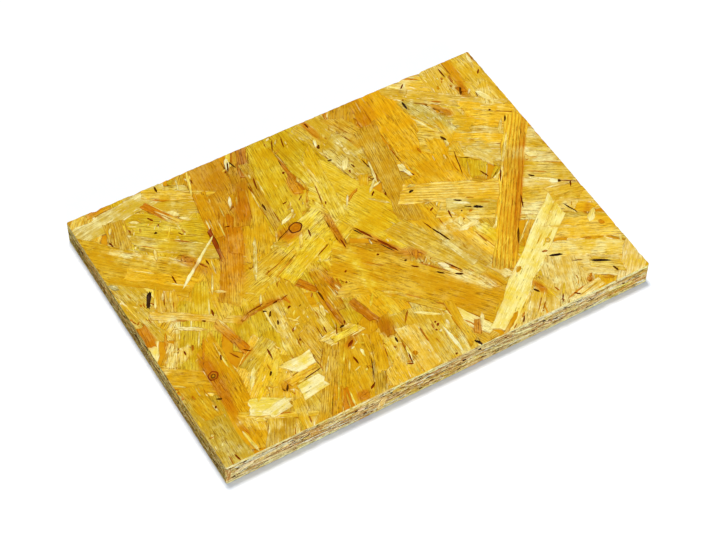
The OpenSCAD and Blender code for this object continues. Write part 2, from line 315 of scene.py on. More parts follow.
# Stains of resin and heartwood that run over several strands, with soft borders:
# (colour as a wood's name, x, y, angle, length, width, strength)
STAINS = [
    ("rust", -129, 104, 8, 10, 2.5, 0.8), ("brown", -94, 83, -60, 28, 6, 0.3),
    ("rust", -97, 41, -60, 12, 8, 0.7), ("rust", -91, 29, -50, 12, 7, 0.6),
    ("orange", -74, 22, 62, 62, 15, 0.7), ("rust", -67, 36, 62, 24, 9, 0.5),
    ("rust", -146, 0, 90, 14, 8, 0.9), ("brown", -52, 92, 85, 30, 16, 0.4),
    ("brown", -44, 68, 66, 30, 9, 0.6), ("redbrown", -29, 97, 66, 16, 4, 0.4),
    ("rust", -49, 58, 70, 16, 8, 0.6), ("rust", -32, 28, 20, 16, 12, 0.75),
    ("orange", -11, 60, 86, 14, 6, 0.8), ("rust", 60, 92, 70, 30, 16, 0.5),
    ("rust", 22, 96, -80, 18, 4, 0.9), ("rust", 104, 68, -50, 14, 6, 0.9),
    ("rust", 127, 78, 80, 14, 6, 0.7), ("orange", 130, 96, 88, 18, 6, 0.6),
    ("ochre", 84, 30, 70, 16, 6, 0.5), ("ochre", 70, 29, 0, 9, 8, 0.5),
    ("brown", -122, -47, 87, 34, 15, 0.45), ("rust", -125, -52, 87, 44, 6, 0.7),
    ("rust", -101, -25, -75, 32, 7, 0.6), ("rust", -90, -17, 24, 14, 4, 0.5),
    ("rust", -75, -13, 4, 18, 4, 0.5), ("rust", -63, -15, -14, 12, 4, 0.5),
    ("rust", -42, -64, 30, 10, 5, 0.8), ("rust", -30, -12, -75, 30, 7, 0.5),
    ("rust", -43, -13, -60, 14, 5, 0.5), ("rust", -23, -47, -72, 22, 6, 0.5),
    ("brown", -17, -65, 75, 14, 8, 0.7), ("rust", -39, -36, 90, 34, 4, 0.4),
    ("ochre", 38, -70, -50, 40, 24, 0.6), ("rust", 28, -25, -50, 12, 7, 0.8),
    ("rust", 12, -4, -62, 40, 5, 0.7), ("rust", 80, -86, -80, 12, 5, 0.8),
    ("ochre", 58, -67, -70, 14, 6, 0.8), ("rust", 31, -92, 60, 10, 5, 0.7),
    ("ochre", 60, -38, -76, 44, 10, 0.6), ("rust", 140, -49, 48, 11, 5, 0.5),
    ("rust", 142, -62, 60, 5, 3, 0.5), ("rust", 98, -64, -20, 3, 2, 0.6), ("rust", 110, -96, 40, 6, 4, 0.7),
    ("rust", 121, -100, -30, 10, 4, 0.4), ("rust", -91, -72, 70, 8, 6, 0.8),
    ("rust", -54, -101, 0, 8, 6, 0.9), ("orange", 108, -11, 54, 118, 12, 0.5),
    ("rust", 112, -14, 54, 112, 4, 0.6), ("lemon", -60, 2, 14, 84, 16, 0.4),
    ("lemon", -18, 12, 44, 40, 20, 0.7), ("lemon", -2, 50, 72, 50, 11, 0.6),
    ("lemon", -100, 62, 38, 40, 12, 0.5), ("khaki", -33, -44, 80, 30, 9, 0.4),
    ("lemon", -8, -30, 90, 60, 10, 0.5), ("lemon", 6, 22, 84, 50, 12, 0.5),
    ("lemon", 116, -42, 38, 40, 10, 0.5), ("lemon", -92, -56, 50, 34, 20, 0.6),
    ("khaki", 32, 72, 96, 40, 16, 0.6), ("khaki", 110, 26, -55, 44, 16, 0.5),
    ("khaki", 94, 72, -64, 34, 14, 0.6), ("smoke", 100, 64, -62, 50, 8, 0.35),
    ("khaki", 54, -34, -64, 60, 9, 0.6), ("khaki", -104, 10, 50, 40, 14, 0.2),
    ("khaki", 6, -98, 80, 20, 24, 0.3), ("pale", -132, -8, 60, 24, 9, 0.6),
    ("pale", -138, -24, 20, 22, 7, 0.8), ("pale", -70, -35, 80, 26, 6, 0.6),
    ("pale", -116, -88, -30, 24, 9, 0.7), ("pale", 66, -20, -20, 22, 9, 0.7),
    ("pale", 48, -60, -55, 24, 7, 0.6), ("rust", -6, 16, 85, 26, 4, 0.9),
    ("pale", 132, 10, -30, 18, 8, 0.5), ("pale", 138, 64, 60, 16, 12, 0.6),
    ("pale", -122, 58, -40, 50, 7, 0.4),
]

# Places where the surface is crumbled into short torn bits: (x, y, radius)
CRUMBLED = [
    (-140, 22, 12), (-125, 21, 9), (-121, 84, 9), (-108, 71, 13), (-93, 63, 8), (-100, 38, 9), (-92, 11, 8),
    (-70, 98, 6), (-38, 95, 7), (-4, 96, 8), (-50, 2, 12), (-30, 4, 12), (-18, 18, 11), (-32, -28, 14),
    (-58, -34, 13), (-63, -51, 8), (-88, -53, 13), (-95, -73, 10), (-129, -20, 10), (-20, -76, 11),
    (-11, -94, 11), (-41, -62, 9), (-45, -84, 6), (0, 40, 8), (22, 76, 11), (28, 59, 8), (38, 45, 6),
    (12, -6, 8), (30, -31, 10), (46, -47, 9), (14, -84, 11), (70, -16, 11), (60, -61, 9), (96, -64, 7),
    (72, -95, 9), (92, 41, 6), (92, 86, 6), (124, 86, 11), (136, 66, 11), (133, 12, 9), (140, -46, 9),
    (108, -98, 9), (88, -99, 7), (-141, 58, 7), (-146, -88, 7), (-63, 20, 7), (-17, 44, 9), (55, 6, 7),
]


def srgb(colour):
    """Linear colour of an sRGB one given as 0 to 255."""
    share = np.asarray(colour, float) / 255
    return np.where(share <= 0.04045, share / 12.92, ((share + 0.055) / 1.055) ** 2.4)


class Strand:
    """One strand, splinter, gap or knot as it lies in a relief.

    Its outline is kept in its own frame, a along the grain and c across it, so that the same outline can
    be drawn again a little smaller: that inner ring is where the strand's flat top begins.
    """

    TILT = 0.03                         # usual rise from the middle to an end or a side, in mm
    SLANT = 0.22                        # usual slant of a torn end, as a share of the width
    TAPER = 0.10                        # the most that a strand widens towards one end
    GROOVE = 0.25, 1.5                  # depth of the groove beside it, as a share of the relief's moat
    RIPPLE = (0.015, 0.06), (4, 8)      # depth and pitch of the ripples of its top, in mm
    MOST_WANDER, MOST_JAG = 0.7, 0.6    # usual unevenness of the widest sides and torn ends, in mm

    def __init__(self, rng, wood, x, y, angle, length, width, ends="torn", level=0.0, round_edge=0.25):
        self.wood, self.x, self.y = wood, x, y
        self.turn = math.radians(angle)
        self.half = np.array([length / 2, width / 2])
        self.ends, self.level = ends, level
        self.round_edge = min(round_edge, 0.32 * width, 0.32 * length)
        self.seed = rng.uniform(0, 100)
        self.tilt = rng.normal(0, self.TILT, 2)
        self.depth = 0.0
        self.lines = []
        self.shade = rng.normal(0, 1)
        self.groove = rng.uniform(*self.GROOVE)
        self.ripple = [rng.uniform(*bounds) for bounds in self.RIPPLE]
        narrow = ends == "pointed"
        steps = max(5, int(length / 4) + 3) if narrow else max(3, int(length / 9) + 2)
        wander = min(self.MOST_WANDER, (0.08 if narrow else 0.06) * width)
        self.along = np.linspace(-1, 1, steps)
        self.edges = rng.normal(0, wander, (2, steps))
        self.slant = rng.normal(0, self.SLANT * width, 2)
        self.jags = rng.normal(0, min(self.MOST_JAG, 0.05 * width + 0.12), (2, 2 + int(width / 4)))
        self.taper = rng.uniform(-self.TAPER, self.TAPER)
        self.outer, self.inner = self.ring(0), self.ring(self.round_edge)

    def ring(self, inset):
        """The outline, anticlockwise, in the plan."""
        half_long, half_wide = self.half - inset
        if self.ends == "round":
            turns = np.linspace(0, 2 * math.pi, 25)[:-1]
            rough = 1 + 0.06 * np.sin(2 * turns + self.seed) + 0.05 * np.sin(5 * turns + 2 * self.seed)
            own = np.stack([half_long * np.cos(turns) * rough, half_wide * np.sin(turns) * rough], 1)
            return self.to_plan(own)
        if self.ends == "ragged":
            turns = np.linspace(0, 2 * math.pi, 27)[:-1]
            rough = 0.90 + 0.08 * np.sin(3 * turns + self.seed) + 0.13 * np.sin(9 * turns + 2 * self.seed)
            power = 0.5 if self.half[1] > 1.4 else 0.85
            long, wide = (np.sign(wave) * np.abs(wave) ** power for wave in (np.cos(turns), np.sin(turns)))
            return self.to_plan(np.stack([half_long * long * rough, half_wide * wide * rough], 1))
        if self.ends == "pointed":
            girth = np.maximum(1 - np.abs(self.along) ** 4, 0.0)
        else:
            girth = np.ones_like(self.along)
        girth = girth * (1 + self.taper * self.along)
        low = [(half_long * s, -half_wide * g + w) for s, g, w in zip(self.along, girth, self.edges[0])]
        high = [(half_long * s, half_wide * g + w) for s, g, w in zip(self.along, girth, self.edges[1])]
        if self.ends == "pointed":
            own = low[1:-1] + [(half_long, 0.0)] + high[-2:0:-1] + [(-half_long, 0.0)]
            return self.to_plan(np.array(own))
        far, near = [], []
        for side, end, start, stop in ((far, 0, low[-1], high[-1]), (near, 1, high[0], low[0])):
            count = len(self.jags[end])
            for k, jag in enumerate(self.jags[end]):
                share = (k + 1) / (count + 1)
                side.append((start[0] + jag, start[1] + share * (stop[1] - start[1])))
        own = np.array(low + far + high[::-1] + near)
        own[:, 0] += self.slant[(own[:, 0] < 0).astype(int)] * own[:, 1] / self.half[1]
        return self.to_plan(own)

    def to_plan(self, own):
        cos, sin = math.cos(self.turn), math.sin(self.turn)
        return np.stack([self.x + own[:, 0] * cos - own[:, 1] * sin,
                         self.y + own[:, 0] * sin + own[:, 1] * cos], 1)

    def to_own(self, plan):
        return in_frame(plan, self.x, self.y, self.turn)

    def surface(self, plan):
        """Height of the strand's top at points of the plan."""
        own = self.to_own(plan) / self.half
        swell = 0.035 * np.sin(2.1 * own[:, 0] + self.seed) * np.cos(1.3 * own[:, 1] + 2 * self.seed)
        depth, pitch = self.ripple
        bend = 0.9 * np.sin(own[:, 0] * self.half[0] / 14 + self.seed)
        ripple = depth * np.sin(2 * math.pi * own[:, 1] * self.half[1] / pitch + bend)
        return self.level + own @ self.tilt + swell + ripple


def in_frame(plan, x, y, turn):
    """Points of the plan in a frame at x, y that is turned by an angle in radians."""
    cos, sin = math.cos(turn), math.sin(turn)
    du, dv = plan[:, 0] - x, plan[:, 1] - y
    return np.stack([du * cos + dv * sin, dv * cos - du * sin], 1)


def inside(ring, points):
    """Whether each point lies in the ring."""
    found = np.zeros(len(points), bool)
    for (ax, ay), (bx, by) in zip(ring, np.roll(ring, -1, 0)):
        if ay == by:
            continue
        crosses = (points[:, 1] < ay) != (points[:, 1] < by)
        found ^= crosses & (points[:, 0] < ax + (points[:, 1] - ay) * (bx - ax) / (by - ay))
    return found


def distance(ring, points):
    """Distance of each point from the ring's line."""
    best = np.full(len(points), np.inf)
    for start, stop in zip(ring, np.roll(ring, -1, 0)):
        way = stop - start
        share = np.clip((points - start) @ way / max(way @ way, 1e-12), 0, 1)
        best = np.minimum(best, ((points - start - share[:, None] * way) ** 2).sum(1))
    return np.sqrt(best)


def stepped(line, step):
    """A closed line with points no further apart than step, or an open one where it has two points."""
    ends = np.roll(line, -1, 0) if len(line) > 2 else line[1:]
    found = []
    for start, stop in zip(line, ends):
        count = max(1, round(float(np.linalg.norm(stop - start)) / step))
        found += [start + (stop - start) * k / count for k in range(count)]
    if len(line) == 2:
        found.append(line[1])
    return np.array(found)


def clipped(ring, domain):
    """The part of a ring that lies in a convex domain, both anticlockwise."""
    for start, stop in zip(domain, np.roll(domain, -1, 0)):
        if len(ring) < 3:
            return ring
        normal = np.array([start[1] - stop[1], stop[0] - start[0]])
        side = (ring - start) @ normal
        kept = []
        for k in range(len(ring)):
            here, after = side[k], side[(k + 1) % len(ring)]
            if here >= 0:
                kept.append(ring[k])
            if (here >= 0) != (after >= 0):
                kept.append(ring[k] + (ring[(k + 1) % len(ring)] - ring[k]) * here / (here - after))
        ring = np.array(kept)
    return ring


def placed(name, data):
    """An object with this data, in the scene."""
    piece = bpy.data.objects.new(name, data)
    bpy.context.scene.collection.objects.link(piece)
    return piece


class Spots:
    """Points sorted along u, so that those near a ring are found fast."""

    def __init__(self, points):
        self.points = points
        self.order = np.argsort(points[:, 0], kind="stable")
        self.u, self.v = points[self.order].T

    def near(self, ring, reach=0.0):
        """Indices of the points in the ring's box, widened by reach."""
        low, high = ring.min(0) - reach, ring.max(0) + reach
        first, last = np.searchsorted(self.u, (low[0], high[0]))
        fits = (self.v[first:last] >= low[1]) & (self.v[first:last] <= high[1])
        return self.order[first:last][fits]


MIDDLE_SPOTS = np.stack(np.meshgrid(np.linspace(-0.9, 0.9, 15), np.linspace(-0.8, 0.8, 5)), -1).reshape(-1, 2)


class Relief:
    """A relief of strands over a convex domain of the plan.

    A strand sinks what lies within about reach of it by moat at most, rough is the unevenness of the
    whole surface, and lines are kept as edges of the mesh.
    """

    def __init__(self, rng, domain, strands, moat=0.22, reach=1.2, rough=0.035, support=SUPPORT, lines=()):
        self.domain, self.moat, self.reach, self.rough = np.asarray(domain, float), moat, reach, rough
        self.strands = self.seen(strands)
        self.corners, self.triangles = self.triangulate(rng, support, lines)
        self.heights = self.press(rng)
        self.owner = self.owners(self.corners[self.triangles].mean(1))

    def seen(self, strands):
        """The strands that show, each with the stretches of its two rings that no later one covers."""
        rings = [(k, stepped(part, OUTLINE_STEP)) for k, strand in enumerate(strands)
                 for part in (clipped(strand.outer, self.domain), clipped(strand.inner, self.domain))
                 if len(part) > 2]
        middles = [(k, strand.to_plan(MIDDLE_SPOTS * strand.half)) for k, strand in enumerate(strands)]
        middles = [(k, plan[inside(self.domain, plan)]) for k, plan in middles]
        samples = rings + middles
        points = np.concatenate([plan for _, plan in samples])
        rank = np.concatenate([np.full(len(plan), k) for k, plan in samples])
        covered = np.zeros(len(points), bool)
        spots = Spots(points)
        for k, strand in enumerate(strands):
            if strand.depth:
                continue
            chosen = spots.near(strand.inner)
            chosen = chosen[(rank[chosen] < k) & ~covered[chosen]]
            covered[chosen] = inside(strand.inner, points[chosen])
        shows = np.bincount(rank[~covered], minlength=len(strands)) > 0
        first = 0
        for k, ring in rings:
            strands[k].lines.append((ring, covered[first:first + len(ring)]))
            first += len(ring)
        return [strand for strand, shown in zip(strands, shows) if shown and strand.lines]

    def triangulate(self, rng, support, lines):
        """A mesh of the domain that keeps every line."""
        points, edges = [], []

        def add(line, hidden=None, closed=True):
            first, count = len(points), len(line)
            points.extend(line)
            for k in range(count if closed else count - 1):
                after = (k + 1) % count
                if hidden is None or not (hidden[k] and hidden[after]):
                    edges.append((first + k, first + after))

        add(stepped(self.domain, RIM_STEP))
        for line in lines:
            add(stepped(np.asarray(line, float), RIM_STEP), closed=len(line) > 2)
        for strand in self.strands:
            for ring, hidden in strand.lines:
                add(ring, hidden)
        low, high = self.domain.min(0), self.domain.max(0)
        counts = np.maximum(((high - low) / support).astype(int), 1)
        grid = np.stack(np.meshgrid(*(np.arange(n) + 0.5 for n in counts)), -1).reshape(-1, 2)
        free = low + (grid + rng.uniform(-0.25, 0.25, grid.shape)) * (high - low) / counts
        points.extend(free[inside(self.domain, free)])
        found = delaunay_2d_cdt([Vector(p) for p in points], edges, [], 0, WELD, False)
        corners = np.array([tuple(p) for p in found[0]])
        triangles = [(face[0], face[k], face[k + 1]) for face in found[2] for k in range(1, len(face) - 1)]
        return corners, np.array(triangles)

    def press(self, rng):
        """Lays the strands down in turn: each has its own level, and sinks what is beside it a little."""
        heights = np.full(len(self.corners), BED)
        spots = Spots(self.corners)
        for strand in self.strands:
            chosen = spots.near(strand.outer, 0 if strand.depth else 3 * self.reach)
            plan = self.corners[chosen]
            away = distance(strand.outer, plan)
            within = inside(strand.outer, plan) & (away > 1e-3)
            rise = np.clip(away / strand.round_edge, 0, 1)
            under = heights[chosen]
            if strand.depth:
                heights[chosen] = np.where(within, under - strand.depth * rise, under)
                continue
            beside = under - strand.groove * self.moat * np.exp(-away / self.reach)
            foot = np.minimum(beside, strand.surface(plan) - 0.1)
            top = foot + (strand.surface(plan) - foot) * rise
            heights[chosen] = np.where(within, top, beside)
        heights += rng.normal(0, self.rough, len(heights))
        return np.minimum(heights, 0)

    def owners(self, points):
        """The topmost strand at each point."""
        owner = np.full(len(points), -1)
        spots = Spots(points)
        for k, strand in enumerate(self.strands):
            chosen = spots.near(strand.outer)
            owner[chosen[inside(strand.outer, points[chosen])]] = k
        return owner


def pick(rng, names, odds=None):
    """One of the names at random."""
    return str(rng.choice(names, p=odds))


def thin(rng, wood, x, y, angle, length, width, **options):
    """A splinter or fibre, pointed at both ends."""
    return Strand(rng, wood, x, y, angle, length, width, ends="pointed", **options)


def scattered(rng, domain, count, lengths, widths, woods, angles, level, **options):
    """Strands thrown at random over a domain."""
    low, high = np.min(domain, 0), np.max(domain, 0)
    names, odds = zip(*woods.items())
    odds = np.array(odds, float) / sum(odds)
    found = []
    for k in range(count):
        x, y = rng.uniform(low - 8, high + 8)
        found.append(Strand(rng, pick(rng, names, odds), x, y, angles(rng), rng.uniform(*lengths),
                            rng.uniform(*widths), level=level(k / count, rng), **options))
    return found


# ---------------------------------------------------------------------------------------------------
# Layouts: which strands lie on each side of the board
# ---------------------------------------------------------------------------------------------------

def rectangle(half_u, low_v, high_v, corner=0.0):
    """A rectangle in the plan, with its corners cut at 45 degrees."""
    ring = []
    for su, v, sv in ((-1, low_v, 1), (1, low_v, 1), (1, high_v, -1), (-1, high_v, -1)):
        if not corner:
            ring.append((su * half_u, v))
            continue
        along = (su * (half_u - corner), v)
        upright = (su * half_u, v + sv * corner)
        ring += [upright, along] if (su < 0) == (sv > 0) else [along, upright]
    return np.array(ring, float)


FACE_OUTLINE = rectangle(LENGTH / 2, -WIDTH / 2, WIDTH / 2, CORNER_ARRIS)


def listed(rng, rows, level, **options):
    """Strands of a given list, at a level that rises through the list."""
    return [Strand(rng, *row, level=level(k / len(rows), rng), **options) for k, row in enumerate(rows)]


DEEP_GAP, SHALLOW_GAP = 1.15, 0.95


def gaps(rng, rows, woods=("deep_gap_shade", "shade", "redbrown")):
    """Open gaps, which press whatever lies under them down, painted dark as the shade in them, with woods from
    the deepest to the shallowest.
    """
    found = []
    for x, y, angle, length, width, depth in rows:
        wood = woods[0] if depth > DEEP_GAP else woods[1] if depth > SHALLOW_GAP else woods[2]
        stubby = length < 3.2 * width or width > 2.3
        gap = Strand(rng, wood, x, y, angle, length, width, ends="ragged" if stubby else "pointed",
                     round_edge=0.3)
        gap.depth, gap.groove = depth, 0.0
        found.append(gap)
    return found


def knots(rng, rows):
    """Knots: a rim, then a heart a little lower."""
    found = []
    for x, y, radius, heart, rim in rows:
        disc = Strand(rng, rim, x, y, rng.uniform(0, 180), 2.2 * radius, 1.95 * radius, ends="round",
                      level=-0.30, round_edge=0.2)
        disc.groove = 0.0
        core = copy.copy(disc)
        core.wood, core.level, core.lines = heart, -0.42, []
        core.half = disc.half - (0.6 + 0.09 * radius)
        core.outer, core.inner = core.ring(0), core.ring(core.round_edge)
        found += [disc, core]
    return found


def lie_of_strands(rng):
    """Angle of a strand on the board's faces: mostly steep to the length, with a wide spread."""
    return rng.choice((62, 84, -34, 40)) + rng.normal(0, 16)


FACE_WOODS = {"golden": 5, "olive": 4, "khaki": 3, "tan": 4, "sand": 4, "beige": 1, "lemon": 3, "pale": 2,
              "cream": 1, "ochre": 2, "orange": 1, "amber": 3, "rust": 1, "rippled": 1}
SPLINTER_WOODS = {"cream": 3, "pale": 4, "white": 1, "rust": 3, "orange": 2, "brown": 2, "lemon": 3}


def pile(share, rng):
    """Level of a strand a given share of the way up the pile on a face."""
    return -0.62 + 0.42 * share + rng.uniform(-0.08, 0.08)


def upper_pile(share, rng):
    """The same for a listed strand, which lies higher."""
    return -0.42 + 0.36 * share + rng.uniform(-0.08, 0.06)


def splinter_level(share, rng):
    """Level of a splinter, wherever it comes in its list."""
    return rng.uniform(-0.22, -0.03)


def with_companions(rng, hosts):
    """The strands, each followed by the slits and the torn pale and dark fibres along it; the slits are painted
    dark, as the shade in them.
    """
    found = []
    for host in hosts:
        found.append(host)
        half_long, half_wide = host.half
        if half_long < 11:
            continue
        for kind, mean in (("slit", 0.5), ("light", 2.0), ("dark", 1.2)):
            for _ in range(rng.poisson(mean)):
                side = rng.choice((-1, 1)) if kind == "slit" or rng.random() < 0.5 else rng.uniform(-0.8, 0.8)
                place = np.array([[rng.uniform(-0.8, 0.8) * half_long, side * (half_wide + 0.1)]])
                (x, y), = host.to_plan(place)
                angle = math.degrees(host.turn) + rng.normal(0, 2.5)
                # a slit: its dark wood is painted shade in the gap
                if kind == "slit":
                    fibre = thin(rng, pick(rng, ("shade", "redbrown", "brown", "brown")), x, y, angle,
                                 rng.uniform(4, 20), rng.uniform(0.35, 0.9))
                    fibre.depth, fibre.groove = rng.uniform(0.15, 0.5), 0.0
                else:
                    woods = ("pale", "cream", "lemon") if kind == "light" else ("ochre", "brown", "rust")
                    fibre = thin(rng, pick(rng, woods), x, y, angle, rng.uniform(4, 18), rng.uniform(0.5, 1.4),
                                 round_edge=POINTED_EDGE,
                                 level=min(host.level + rng.uniform(-0.06, 0.08), -0.02))
                found.append(fibre)
    return found


def crumbs(rng, places):
    """Short torn bits and pits, thrown around each place and mostly steep to the board's length; the pits are
    painted dark, as the shade in them.
    """
    woods = ("cream", "white", "pale", "lemon", "ochre", "brown", "sand", "rust")
    found = []
    for x, y, radius in places:
        lie = lie_of_strands(rng)
        for _ in range(int(0.10 * radius ** 2) + 3):
            turn, away = rng.uniform(0, 2 * math.pi), radius * math.sqrt(rng.random())
            # a pit: its dark wood is painted shade
            pit = rng.random() < 0.12
            wood = pick(rng, ("shade", "redbrown", "brown") if pit else woods)
            bit = thin(rng, wood, x + away * math.cos(turn), y + away * math.sin(turn),
                       lie + rng.normal(0, 24), rng.uniform(1.4, 5.5), rng.uniform(0.6, 1.5),
                       level=rng.uniform(-0.25, -0.02), round_edge=POINTED_EDGE)
            if pit:
                bit.half[1] = min(bit.half[1], 0.5)
                bit.depth, bit.groove = rng.uniform(0.15, 0.5), 0.0
            found.append(bit)
    return found


def random_gaps(rng, domain, count):
    """Gaps thrown at random over a domain."""
    low, high = np.min(domain, 0), np.max(domain, 0)
    rows = [(*rng.uniform(low, high), lie_of_strands(rng), rng.uniform(2.5, 11), rng.uniform(0.8, 1.6),
             rng.uniform(0.6, 1.3)) for _ in range(count)]
    return gaps(rng, rows)


def scattered_on_face(rng, count, lengths, widths, slip_count, slip_lengths, slip_widths):
    """The random strands of a face and the splinters between them."""
    bed = scattered(rng, FACE_OUTLINE, count, lengths, widths, FACE_WOODS, lie_of_strands, pile)
    slips = scattered(rng, FACE_OUTLINE, slip_count, slip_lengths, slip_widths, SPLINTER_WOODS,
                      lie_of_strands, splinter_level, ends="pointed", round_edge=POINTED_EDGE)
    return bed, slips


def upper_strands(rng):
    """The upper face: a random bed, then the listed strands."""
    bed, slips = scattered_on_face(rng, 90, (45, 110), (12, 26), 60, (6, 20), (0.9, 2.4))
    lower = with_companions(rng, bed + listed(rng, BROAD_STRANDS, upper_pile) + slips)
    upper = with_companions(rng, listed(rng, LONG_STRANDS, upper_pile))
    found = lower + crumbs(rng, CRUMBLED) + upper
    found += listed(rng, SPLINTERS, splinter_level, ends="pointed", round_edge=POINTED_EDGE)
    return found + knots(rng, KNOTS) + gaps(rng, VOIDS)


def lower_strands(rng):
    """The lower face, all at random."""
    bed, slips = scattered_on_face(rng, 190, (45, 120), (10, 26), 150, (6, 36), (1.2, 4.0))
    half_long, half_wide = LENGTH / 2, WIDTH / 2
    crumbled = [(*rng.uniform((-half_long, -half_wide), (half_long, half_wide)), rng.uniform(5, 12))
                for _ in range(40)]
    return with_companions(rng, bed + slips) + crumbs(rng, crumbled) + random_gaps(rng, FACE_OUTLINE, 40)


SAWN_WOODS = {"sawn": 6, "sawn_pale": 4, "sawn_tan": 4, "sawn_brown": 3, "sawn_olive": 2, "sawn_pink": 2,
              "sawn_moss": 2}

# Gaps of a sawn edge: (how many for each mm of half its length, lengths, widths, depths, spread of the angle)
SLITS = 1.5, (4, 22), (0.2, 0.36), (0.2, 0.45), 4
CRACKS = 1.0, (2, 9), (0.35, 0.6), (0.96, 1.1), 12
PITS = 0.24, (2, 4.5), (0.8, 1.7), (0.9, 1.5), 20


def sawn_strands(rng, half_u, gap_kinds=(SLITS, CRACKS, PITS)):
    """A sawn edge: strands seen from the side, thin and nearly level, with a pale one along each arris."""
    low_v, high_v = FACE_ARRIS, THICK - FACE_ARRIS
    pitch = (high_v - low_v) / LAYERS
    woods, odds = zip(*SAWN_WOODS.items())
    odds = np.array(odds) / sum(odds)
    found = []
    for layer in rng.permutation(LAYERS):
        u = -half_u - rng.uniform(0, 30)
        while u < half_u:
            cross_cut = rng.random() < 0.5
            length = rng.uniform(3, 14) if cross_cut else rng.uniform(12, 50)
            v = low_v + (layer + rng.uniform(0.2, 0.8)) * pitch
            found.append(thin(rng, pick(rng, woods, odds), u + length / 2, v,
                              rng.normal(0, 14 if cross_cut else 1.6), length, pitch * rng.uniform(1.3, 2.4),
                              level=rng.uniform(-0.30, -0.02), round_edge=SAWN_EDGE))
            u += length * rng.uniform(0.7, 1.0)
    for v in (low_v + 0.4, high_v - 0.4):
        u = -half_u
        widest = 4.0 if v > THICK / 2 else 2.0
        while u < half_u:
            length = rng.uniform(10, 46)
            found.append(Strand(rng, "sawn_cream", u + length / 2, v, rng.normal(0, 0.4), length,
                                rng.uniform(1.2, widest), level=-0.02, round_edge=SAWN_EDGE))
            u += length * rng.uniform(0.7, 1.4)
    rows = []
    for count, lengths, widths, depths, spread in gap_kinds:
        for _ in range(int(half_u * count)):
            v = rng.uniform(low_v + 1.5, high_v - 2.0)
            rows.append((rng.uniform(-half_u, half_u), v, rng.normal(0, spread), rng.uniform(*lengths),
                         rng.uniform(*widths), rng.uniform(*depths)))
    # the sawn edge's gaps are painted dark, as the shade in them
    return found + gaps(rng, rows, ("deep_gap_shade", "sawn_gap_shade", "sawn_brown"))


# ---------------------------------------------------------------------------------------------------
# The board's six sides: where each lies, and the slab that stands for it
# ---------------------------------------------------------------------------------------------------

SIDES = {
    # name: a point of the side as shares of the length, width and thickness, direction of u, of v
    "upper_face": ((0, 0, 1), (1, 0, 0), (0, 1, 0)),
    "lower_face": ((0, 0, 0), (-1, 0, 0), (0, 1, 0)),
    "front_edge": ((0, -0.5, 0), (1, 0, 0), (0, 0, 1)),
    "back_edge": ((0, 0.5, 0), (-1, 0, 0), (0, 0, 1)),
    "left_edge": ((-0.5, 0, 0), (0, -1, 0), (0, 0, 1)),
    "right_edge": ((0.5, 0, 0), (0, 1, 0), (0, 0, 1)),
}


def worn_arris(rng, half_length):
    """Wear along one arris: where it is, and how far it goes in, in mm, with some deeper nicks."""
    fuzz, steps_per_nick, nick_depths = 0.10, 12, (0.2, 0.6)
    count = int(2 * half_length / RIM_STEP)
    places = np.linspace(-half_length, half_length, count + 1)
    wear = np.abs(rng.normal(0, fuzz, count + 1))
    for _ in range(count // steps_per_nick):
        start, long = rng.integers(2, count - 6), rng.integers(1, 4)
        wear[start:start + long] += rng.uniform(*nick_depths)
    wear[:2] = wear[-2:] = 0
    return places, wear


def wear_down(points, arrises):
    """Moves points near the long arrises of the two faces down and in by the wear there."""
    moved = points.copy()
    for (axis, side, top), (places, wear) in arrises.items():
        other = 1 - axis
        plane = side * (LENGTH, WIDTH)[other] / 2
        line = THICK - FACE_ARRIS if top else FACE_ARRIS
        inward = (plane - points[:, other]) * side
        deep = np.maximum((line - points[:, 2]) * (1 if top else -1), 0)
        amount = np.interp(points[:, axis], places, wear) * (1.0 if top else LOWER_WEAR)
        amount = amount * np.clip(1 - np.hypot(inward, deep) / WEAR_REACH, 0, 1)
        moved[:, other] -= side * amount
        moved[:, 2] -= (1 if top else -1) * amount
    return moved


def strand_attributes(relief):
    """For each corner of a triangle: its place along and across the grain with the strand's seed, and its
    distance from the strand's edge.
    """
    grain = np.zeros((len(relief.triangles), 3, 3))
    edge = np.full((len(relief.triangles), 3), FAR_FROM_EDGE)
    order = np.argsort(relief.owner, kind="stable")
    parts = np.searchsorted(relief.owner[order], range(len(relief.strands) + 1))
    for k, strand in enumerate(relief.strands):
        own = order[parts[k]:parts[k + 1]]
        if not len(own):
            continue
        plan = relief.corners[relief.triangles[own]].reshape(-1, 2)
        place = strand.to_own(plan)
        if strand.ends == "round":
            turn = np.arctan2(place[:, 1], place[:, 0])
            place = np.stack([turn * strand.half[0], np.hypot(*place.T)], 1)
        grain[own, :, :2] = place.reshape(-1, 3, 2)
        grain[own, :, 2] = strand.seed
        edge[own] = np.minimum(distance(strand.outer, plan), FAR_FROM_EDGE).reshape(-1, 3)
    return grain, edge


def folded_map(side, relief):
    """Where each triangle corner goes on the image: one field, or the strips of a sawn edge."""
    low, high = relief.domain.min(0), relief.domain.max(0)
    share = (relief.corners[relief.triangles] - low) / (high - low)
    if "face" in side:
        return HIDDEN_STRIP + share * (1 - 2 * HIDDEN_STRIP)
    strip = np.clip((share[:, :, 0].mean(1) * STRIPS).astype(int), 0, STRIPS - 1)[:, None]
    across = share[:, :, 0] * STRIPS - strip
    up = (strip + STRIP_MARGIN + (1 - 2 * STRIP_MARGIN) * share[:, :, 1]) / STRIPS
    return HIDDEN_STRIP + np.stack([across * (1 - 2 * HIDDEN_STRIP), up * (1 - HIDDEN_STRIP)], -1)


